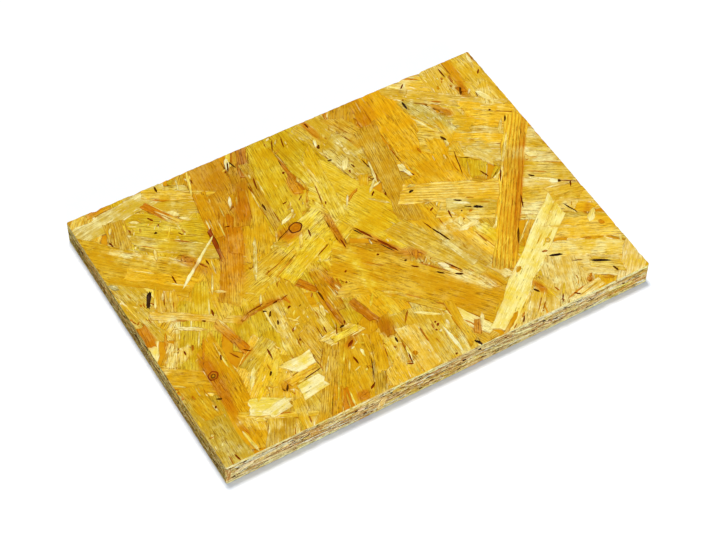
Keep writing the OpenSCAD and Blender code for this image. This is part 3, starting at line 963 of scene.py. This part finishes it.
def slab(side, relief, arrises, material):
    """A closed slab: the relief outside, mitred walls, and a plain back inside the board."""
    share, along, up = (np.array(v, float) for v in SIDES[side])
    out = np.cross(along, up)
    middle = share * (LENGTH, WIDTH, THICK)
    low, high = relief.domain.min(0), relief.domain.max(0)
    on_face = "face" in side
    to_corners = not on_face and high[0] > max(LENGTH, WIDTH) / 2 - 1e-6

    plan = relief.corners.copy()
    if not on_face:
        u, v = plan.T
        loose = np.clip(np.minimum(v - FACE_ARRIS, THICK - FACE_ARRIS - v) / 4, 0, 1)
        plan[:, 1] += loose * (0.45 * np.sin(u / 19 + 1) + 0.15 * np.sin(u / 7.3) * np.cos(v / 5))
    border = distance(relief.domain, relief.corners)
    heights = np.maximum(relief.heights, -BORDER_SLOPE * border)
    if on_face:
        heights = heights - np.maximum(FACE_ARRIS - border, 0)
    elif to_corners:
        heights = heights - np.maximum(np.abs(relief.corners[:, 0]) - (LENGTH / 2 - CORNER_ARRIS), 0)
    points = middle + plan[:, :1] * along + plan[:, 1:] * up + heights[:, None] * out
    points = wear_down(points, arrises)

    faces = relief.triangles.tolist()
    count = len(points)
    if on_face:
        inner_low, inner_high = low + MITRE, high - MITRE
    else:
        inner_low = np.array([-(abs(low[0]) - MITRE + (0 if to_corners else CORNER_ARRIS)), MITRE])
        inner_high = np.array([-inner_low[0], THICK - MITRE])
    inner = [(inner_low[0], inner_low[1]), (inner_high[0], inner_low[1]), (inner_high[0], inner_high[1]),
             (inner_low[0], inner_high[1])]
    back = [middle + u * along + v * up - MITRE * out for u, v in inner]
    points = np.concatenate([points, back])
    centre = (low + high) / 2

    def quarter(k):
        right, top = relief.corners[k] >= centre
        return count + ((2 if right else 3) if top else (1 if right else 0))

    for start, stop in border_edges(relief.triangles):
        from_inner, to_inner = quarter(start), quarter(stop)
        faces.append((stop, start, from_inner))
        if from_inner != to_inner:
            faces.append((stop, from_inner, to_inner))
    faces.append((count + 3, count + 2, count + 1, count))

    mesh = bpy.data.meshes.new(side)
    mesh.from_pydata((points * MM).tolist(), [], faces)
    paint(mesh, side, relief)
    mesh.validate()
    mesh.set_sharp_from_angle(angle=math.radians(CRISP_ANGLE))
    mesh.materials.append(material)
    piece = placed(side, mesh)
    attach(piece, "root")
    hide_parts(NODE)
    return piece


def border_edges(triangles):
    """The directed edges that only one triangle has."""
    edges = np.concatenate([triangles[:, [0, 1]], triangles[:, [1, 2]], triangles[:, [2, 0]]])
    known = {tuple(edge) for edge in edges.tolist()}
    return [edge for edge in known if edge[::-1] not in known]


def stained(mesh, side):
    """Colour and strength of the stains at each point of the mesh."""
    points = np.zeros(len(mesh.vertices) * 3)
    mesh.vertices.foreach_get("co", points)
    plan = points.reshape(-1, 3)[:, :2] / MM
    found = np.zeros((len(plan), 4))
    for name, x, y, angle, length, width, strength in STAINS if side == "upper_face" else ():
        along, across = in_frame(plan, x, y, math.radians(angle)).T
        along, across = along / (0.6 * length), across / (0.6 * width)
        cover = strength * np.exp(-(along ** 4 + across ** 4))[:, None]
        found[:, :3] += cover * (srgb(WOODS[name][0]) * SIDE_TONE[side] - found[:, :3])
        found[:, 3:] += cover * (1 - found[:, 3:])
    found[:, :3] /= np.maximum(found[:, 3:], 1e-3)
    return found


def paint(mesh, side, relief):
    """Writes the attributes that the materials read, and the map for the export."""
    woods = [WOODS[strand.wood] for strand in relief.strands] + [WOODS["ochre"]]
    tones = np.array([srgb(colour) for colour, _, _ in woods])
    shades = np.array([1 + 0.06 * strand.shade for strand in relief.strands] + [1.0])
    tones = np.clip(tones * shades[:, None] * SIDE_TONE[side], 0, PALEST)
    grooves = [strand.groove for strand in relief.strands] + [0.0]
    rings = np.array([(contrast, spacing, groove) for (_, contrast, spacing), groove in zip(woods, grooves)])
    grain, edge = strand_attributes(relief)
    visible = len(relief.triangles)
    loops, seen_loops = len(mesh.loops), 3 * visible
    middles = relief.corners[relief.triangles].mean(1)

    tone = np.ones((len(mesh.polygons), 4))
    tone[:visible, :3] = tones[relief.owner]
    tone[visible:, :3] = tones[-1]
    # painted light and shade on the short edges, by height
    if side in ("left_edge", "right_edge"):
        painted_shading = np.interp(middles[:, 1], *SHORT_EDGE_PAINTED_SHADING)
        tone[:visible, :3] = np.minimum(tone[:visible, :3] * painted_shading[:, None], PALEST)
    if side == "lower_face":
        cut = distance(relief.domain, middles) < FACE_ARRIS
        tone[:visible, :3][cut] = srgb(WOODS["sawn_tan"][0])
    figure = np.zeros((len(mesh.polygons), 3))
    figure[:visible] = rings[relief.owner]
    figure[visible:] = rings[-1]
    corners = np.zeros((loops, 3))
    corners[:seen_loops] = grain.reshape(-1, 3)
    rim = np.full(loops, FAR_FROM_EDGE)
    rim[:seen_loops] = edge.ravel()
    places = np.zeros((loops, 2))
    places[:seen_loops] = folded_map(side, relief).reshape(-1, 2)
    hidden = np.random.default_rng(1).uniform(0.001, HIDDEN_STRIP * 0.8, (loops - seen_loops, 2))
    places[seen_loops:] = hidden

    for name, kind, domain, field, values in (("tone", "FLOAT_COLOR", "FACE", "color", tone),
                                              ("figure", "FLOAT_VECTOR", "FACE", "vector", figure),
                                              ("stain", "FLOAT_COLOR", "POINT", "color", stained(mesh, side)),
                                              ("grain", "FLOAT_VECTOR", "CORNER", "vector", corners),
                                              ("rim", "FLOAT", "CORNER", "value", rim)):
        mesh.attributes.new(name, kind, domain).data.foreach_set(field, values.ravel())
    mesh.uv_layers.new(name="OFBake").uv.foreach_set("vector", places.ravel())
    mesh.polygons.foreach_set("use_smooth", np.arange(len(mesh.polygons)) < visible)


# ---------------------------------------------------------------------------------------------------
# Materials
# ---------------------------------------------------------------------------------------------------

class Material:
    """Short words for building one node material."""

    def __init__(self, name):
        self.material = bpy.data.materials.new(name)
        self.material.use_nodes = True
        self.nodes, self.links = self.material.node_tree.nodes, self.material.node_tree.links
        self.shader = next(node for node in self.nodes if node.type == "BSDF_PRINCIPLED")

    def put(self, value, socket):
        if isinstance(value, bpy.types.NodeSocket):
            self.links.new(value, socket)
        else:
            socket.default_value = value

    def add(self, kind, inputs=(), **settings):
        """A new node's outputs, with its inputs given in their order or by name or number."""
        node = self.nodes.new("ShaderNode" + kind)
        for name, value in settings.items():
            setattr(node, name, value)
        for place, value in inputs.items() if isinstance(inputs, dict) else enumerate(inputs):
            self.put(value, node.inputs[place])
        return node.outputs

    def attribute(self, name, output="Vector"):
        return self.add("Attribute", attribute_name=name)[output]

    def math(self, operation, *values, clamp=False):
        return self.add("Math", values, operation=operation, use_clamp=clamp)[0]

    def times(self, first, second):
        return self.math("MULTIPLY", first, second)

    def parts(self, vector):
        return self.add("SeparateXYZ", (vector,))

    def vector(self, *values):
        return self.add("CombineXYZ", values)[0]

    def noise(self, vector, detail, rough, scale=1.0):
        given = {"Vector": vector, "Scale": scale, "Detail": detail, "Roughness": rough}
        return self.add("TexNoise", given)["Fac"]

    def ramp(self, value, low, high, out_low=0.0, out_high=1.0, smooth=True):
        return self.add("MapRange", (value, low, high, out_low, out_high),
                        interpolation_type="SMOOTHSTEP" if smooth else "LINEAR")[0]

    def mix(self, factor, first, second, blend="MIX"):
        """Inputs 6 and 7 and output 2 of the node are its colours."""
        return self.add("Mix", {0: factor, 6: first, 7: second}, data_type="RGBA", blend_type=blend)[2]

    def tinted(self, colour, tint):
        return self.mix(1.0, colour, tint, "MULTIPLY")

    def bump(self, height, distance):
        normal = self.add("Bump", {"Strength": 1.0, "Distance": distance, "Height": height})[0]
        self.put(normal, self.shader.inputs["Normal"])


# Noise that follows the grain: (waves per mm along it, waves per mm across it, place in the noise, detail,
# roughness). The fibres have their own across, which differs between the faces and the sawn edges.
STREAK, WARP = (0.03, 0.42, 20.0, 2.0, 0.5), (0.022, 0.07, 40.0, 1.0, 0.5)
PIT, FLECK = (0.2, 1.3, 60.0, 1.0, 0.5), (0.14, 0.9, 80.0, 3.0, 0.6)
TORN, HAIR = (0.28, 1.0, 100.0, 3.0, 0.65), (0.13, 1.7, 120.0, 2.0, 0.6)

# Tints, which multiply a wood's own colour; the middle one on the next line is painted sheen on darker woods
DEEP_TINT, SHEEN_TINT, LATE_TINT = (0.98, 0.86, 0.16, 1), (1.10, 1.20, 1.5, 1), (0.88, 0.62, 0.22, 1)
DARK_TINT, DARK_HAIR_TINT = (0.64, 0.49, 0.26, 1), (0.46, 0.33, 0.16, 1)

# Colours of their own, whatever the wood: painted sheen, pale flecks, a painted highlight along strands' edges,
# and painted shade in the pits
SHEEN_COLOUR, FLECK_COLOUR = (0.87, 0.74, 0.28, 1), (0.90, 0.76, 0.40, 1)
EDGE_HIGHLIGHT_COLOUR, PIT_SHADE_COLOUR = (0.92, 0.78, 0.36, 1), (0.20, 0.085, 0.012, 1)

SPECULAR, BUMP_DEPTH = 0.02, 0.0007


def wood(name, fibre_across, fleck_share, pit_share, mottle_scale, speckle, hair_tint):
    """Wood fibres along each strand: growth rings, fibres, streaks, torn pits, pale flecks and stains.

    Over them lie painted sheen, painted shade and a painted highlight along strands' edges, painted shade in
    the pits, and in part painted shade on torn fibres.
    """
    m = Material(name)
    along, across, seed = m.parts(m.attribute("grain"))
    contrast, spacing, groove = m.parts(m.attribute("figure"))
    rim = m.attribute("rim", "Fac")
    sound = m.math("GREATER_THAN", groove, 0.01)

    def stretched(per_mm_along, per_mm_across, shift, detail, rough):
        place = m.vector(m.times(along, per_mm_along), m.times(across, per_mm_across),
                         m.math("ADD", seed, shift))
        return m.noise(place, detail, rough)

    def mixed_fields(base, *fields):
        """The base with each field added about its middle, by its weight."""
        for field, weight in fields:
            if isinstance(weight, float):
                base = m.math("MULTIPLY_ADD", field, weight, m.math("ADD", base, -0.5 * weight))
            else:
                base = m.math("MULTIPLY_ADD", m.math("SUBTRACT", field, 0.5), weight, base)
        return base

    # the fields
    fibre = stretched(0.07, fibre_across, 0.0, 4.0, 0.62)
    streak, warp, torn, hair = (stretched(*field) for field in (STREAK, WARP, TORN, HAIR))
    pit = m.ramp(stretched(*PIT), pit_share, pit_share + 0.06)
    fleck = m.ramp(stretched(*FLECK), fleck_share, fleck_share + 0.14)
    bend = m.math("DIVIDE", 6.0, m.math("MULTIPLY_ADD", contrast, 2.0, 1.0))
    phase = m.math("ADD", m.math("DIVIDE", across, m.math("MAXIMUM", spacing, 0.5)), m.times(warp, bend))
    ring = m.math("POWER", m.math("FRACT", phase), 1.8)
    board = m.add("TexCoord")["Object"]
    mottle = m.noise(board, 4.0, 0.62, scale=mottle_scale)
    blotch = m.noise(board, 3.0, 0.55, scale=60.0)
    cloud = m.noise(board, 1.0, 0.5, scale=24.0)

    # the wood's colour with its stains
    spread = m.ramp(mixed_fields(m.attribute("stain", "Alpha"), (mottle, 0.9), (streak, 0.7)), 0.15, 0.85)
    wood_tone = m.mix(m.times(spread, sound), m.attribute("tone", "Color"), m.attribute("stain", "Color"))
    blue = m.parts(wood_tone)[2]

    # how much of each effect there is: calm wood has strong rings, and plain wood has nearly none
    ringed = m.times(m.math("SUBTRACT", ring, 0.3), m.times(contrast, 1.6))
    # painted shade: a dark line along each strand's edge, as in the gap beside it, deeper with its groove
    edge = m.times(m.ramp(rim, 0.0, 0.4, 0.45, 0.0), groove)
    coarse = m.ramp(groove, 0.25, 1.5, 0.45, 1.35, smooth=False)
    fibre_weight = m.times(m.math("MULTIPLY_ADD", contrast, -1.4, -0.9), coarse)
    calm = m.ramp(contrast, 0.7, 1.2, 1.0, 0.15)
    plain = m.ramp(contrast, 0.05, 0.14, 0.25, 1.0)
    light_wood = m.times(m.ramp(blue, 0.008, 0.06, 0.12, 0.90), calm)
    torn_place = m.times(m.ramp(blotch, 0.40, 0.60, 0.3, 1.0), plain)
    # torn fibres darken the wood: partly their own colour, partly painted shade of their relief
    torn_shade_weight = m.times(m.math("MULTIPLY_ADD", light_wood, -2.2, -1.5), torn_place)
    torn_shade_weight = m.times(torn_shade_weight, m.ramp(blue, 0.08, 0.20, 1.0, 0.35))
    dark = mixed_fields(0.0, (fibre, fibre_weight), (streak, -0.9), (mottle, -speckle), (blotch, -0.5),
                        (torn, m.times(torn_shade_weight, calm)))
    dark = m.math("ADD", m.math("ADD", dark, edge), 0.12, clamp=True)
    # painted highlight: a pale band just inside each strand's edge
    lit = m.times(m.ramp(rim, 0.2, 0.4), m.ramp(rim, 0.6, 1.2, 1.0, 0.0))
    lit = m.times(lit, m.ramp(mixed_fields(0.5, (mottle, 1.5), (torn, 1.0)), 0.50, 0.72, 0.0, 1.0))
    lit = m.times(m.times(lit, 0.7), m.times(coarse, light_wood))
    # pale clouds over the strands: partly the wood's own paler patches, partly painted sheen
    pale = mixed_fields(0.0, (mottle, 3.4), (streak, 1.5), (blotch, 3.0), (cloud, 2.2))

    # the colour, one effect over another
    # painted sheen: the wood lifted and yellowed on darker woods, a pale gold on light ones
    sheen = m.mix(m.times(sound, light_wood), m.tinted(wood_tone, SHEEN_TINT), SHEEN_COLOUR)
    colour = m.mix(m.ramp(pale, 0.0, 1.0, smooth=False), wood_tone, sheen)
    colour = m.mix(m.ramp(pale, 0.15, -0.75, smooth=False), colour, m.tinted(wood_tone, DEEP_TINT))
    colour = m.mix(m.math("MAXIMUM", ringed, 0.0), colour, m.tinted(wood_tone, LATE_TINT))
    colour = m.mix(dark, colour, m.tinted(wood_tone, DARK_TINT))
    colour = m.mix(m.times(fleck, m.times(sound, light_wood)), colour, FLECK_COLOUR)
    for low, high, tint in ((0.56, 0.62, (*hair_tint, 1)), (0.44, 0.37, DARK_HAIR_TINT)):
        share = m.times(m.ramp(hair, low, high, 0.0, 0.85), torn_place)
        colour = m.mix(share, colour, m.tinted(wood_tone, tint))
    colour = m.mix(m.times(lit, sound), colour, EDGE_HIGHLIGHT_COLOUR)
    # painted shade in the torn pits
    colour = m.mix(m.times(pit, 0.45), colour, PIT_SHADE_COLOUR)

    m.put(colour, m.shader.inputs["Base Color"])
    m.put(m.ramp(fibre, 0.3, 0.7, 0.60, 0.42), m.shader.inputs["Roughness"])
    m.shader.inputs["Specular IOR Level"].default_value = SPECULAR
    height = mixed_fields(0.0, (fibre, 0.8), (streak, 1.0), (mottle, 1.2), (ringed, -0.25), (pit, -0.7),
                          (torn, m.times(torn_place, 1.5)))
    m.bump(height, BUMP_DEPTH)
    return m.material


def floor_paint():
    m = Material("floor_paint")
    m.shader.inputs["Base Color"].default_value = (0.88, 0.88, 0.88, 1)
    m.shader.inputs["Roughness"].default_value = 0.9
    return m.material


# ---------------------------------------------------------------------------------------------------
# The board
# ---------------------------------------------------------------------------------------------------

def edge_strands(rng, side, half):
    """A sawn edge at random, with the listed streaks and gaps on the front one."""
    if side != "front_edge":
        return sawn_strands(rng, half)
    found = sawn_strands(rng, half, (SLITS, CRACKS))
    found += listed(rng, FRONT_STREAKS, splinter_level, ends="pointed", round_edge=SAWN_EDGE)
    return found + gaps(rng, FRONT_GAPS)


def board():
    rng = np.random.default_rng(SEED)
    arrises = {(axis, side, top): worn_arris(rng, half - CORNER_ARRIS)
               for axis, half in ((0, LENGTH / 2), (1, WIDTH / 2)) for side in (-1, 1) for top in (True, False)}
    face_wood = wood("strand_wood", fibre_across=1.3, fleck_share=0.60, pit_share=0.72, mottle_scale=150.0,
                     speckle=0.5, hair_tint=(1.20, 1.32, 2.0))
    sawn_wood = wood("sawn_wood", fibre_across=1.9, fleck_share=0.60, pit_share=0.66, mottle_scale=420.0,
                     speckle=1.8, hair_tint=(1.10, 1.10, 1.12))
    inset = rectangle(LENGTH / 2 - FACE_ARRIS, -WIDTH / 2 + FACE_ARRIS, WIDTH / 2 - FACE_ARRIS, CORNER_ARRIS)
    for side, strands in (("upper_face", upper_strands), ("lower_face", lower_strands)):
        relief = Relief(rng, FACE_OUTLINE, strands(rng), lines=[inset])
        slab(side, relief, arrises, face_wood)
    for side in ("front_edge", "back_edge", "left_edge", "right_edge"):
        long = side in ("front_edge", "back_edge")
        half = LENGTH / 2 if long else WIDTH / 2 - CORNER_ARRIS
        domain = rectangle(half, FACE_ARRIS, THICK - FACE_ARRIS)
        places = [half * (2 * k / STRIPS - 1) for k in range(1, STRIPS)]
        if long:
            places += [-half + CORNER_ARRIS, half - CORNER_ARRIS]
        lines = [((u, FACE_ARRIS), (u, THICK - FACE_ARRIS)) for u in places]
        relief = Relief(rng, domain, edge_strands(rng, side, half), moat=0.08, reach=0.3, rough=0.02,
                        support=3.0, lines=lines)
        slab(side, relief, arrises, sawn_wood)


# ---------------------------------------------------------------------------------------------------
# Floor, light and camera
# ---------------------------------------------------------------------------------------------------

def floor():
    mesh = bpy.data.meshes.new("floor")
    half = 4.0
    corners = [(-half, -half, 0), (half, -half, 0), (half, half, 0), (-half, half, 0)]
    mesh.from_pydata(corners, [], [(0, 1, 2, 3)])
    mesh.materials.append(floor_paint())
    piece = placed("floor", mesh)


def soft_box(name, place, size, power):
    """A square area light aimed at the middle of the floor under the board."""
    light = bpy.data.lights.new(name, "AREA")
    light.shape = "SQUARE"
    light.size = size
    light.energy = power
    lamp = placed(name, light)
    lamp.location = place
    lamp.rotation_euler = Vector(place).to_track_quat("Z", "Y").to_euler()


def studio():
    world = bpy.data.worlds.new("studio")
    world.use_nodes = True
    sky = world.node_tree.nodes["Background"].inputs
    sky["Color"].default_value, sky["Strength"].default_value = (0.64, 0.78, 1, 1), 0.52
    bpy.context.scene.world = world
    soft_box("key", (0.02, 0.56, 3.0), size=0.55, power=74)
    soft_box("fill", (-0.45, -2.40, 0.70), size=1.2, power=33)
    bpy.context.scene.view_settings.view_transform = "Standard"


def camera():
    """The photo's view of the board: angles in degrees, lengths in metres, sensor and lens in mm."""
    azimuth, elevation, roll = (math.radians(angle) for angle in (-31.2, 51.82, 0.89))
    distance_to_board, target = 1.314, Vector((-0.0026, -0.00695, 0))
    back = Vector((math.sin(azimuth) * math.cos(elevation), -math.cos(azimuth) * math.cos(elevation),
                   math.sin(elevation)))
    right = Vector((math.cos(azimuth), math.sin(azimuth), 0))
    up = back.cross(right)
    level, upright = right * math.cos(roll) + up * math.sin(roll), up * math.cos(roll) - right * math.sin(roll)
    data = bpy.data.cameras.new("camera")
    data.sensor_width, data.lens = 36, 105.6
    data.clip_end = 20
    eye = placed("camera", data)
    turned = Matrix((level, upright, back)).transposed().to_4x4()
    eye.matrix_world = Matrix.Translation(target + back * distance_to_board) @ turned
    bpy.context.scene.camera = eye


camera()
board()
floor()
studio()
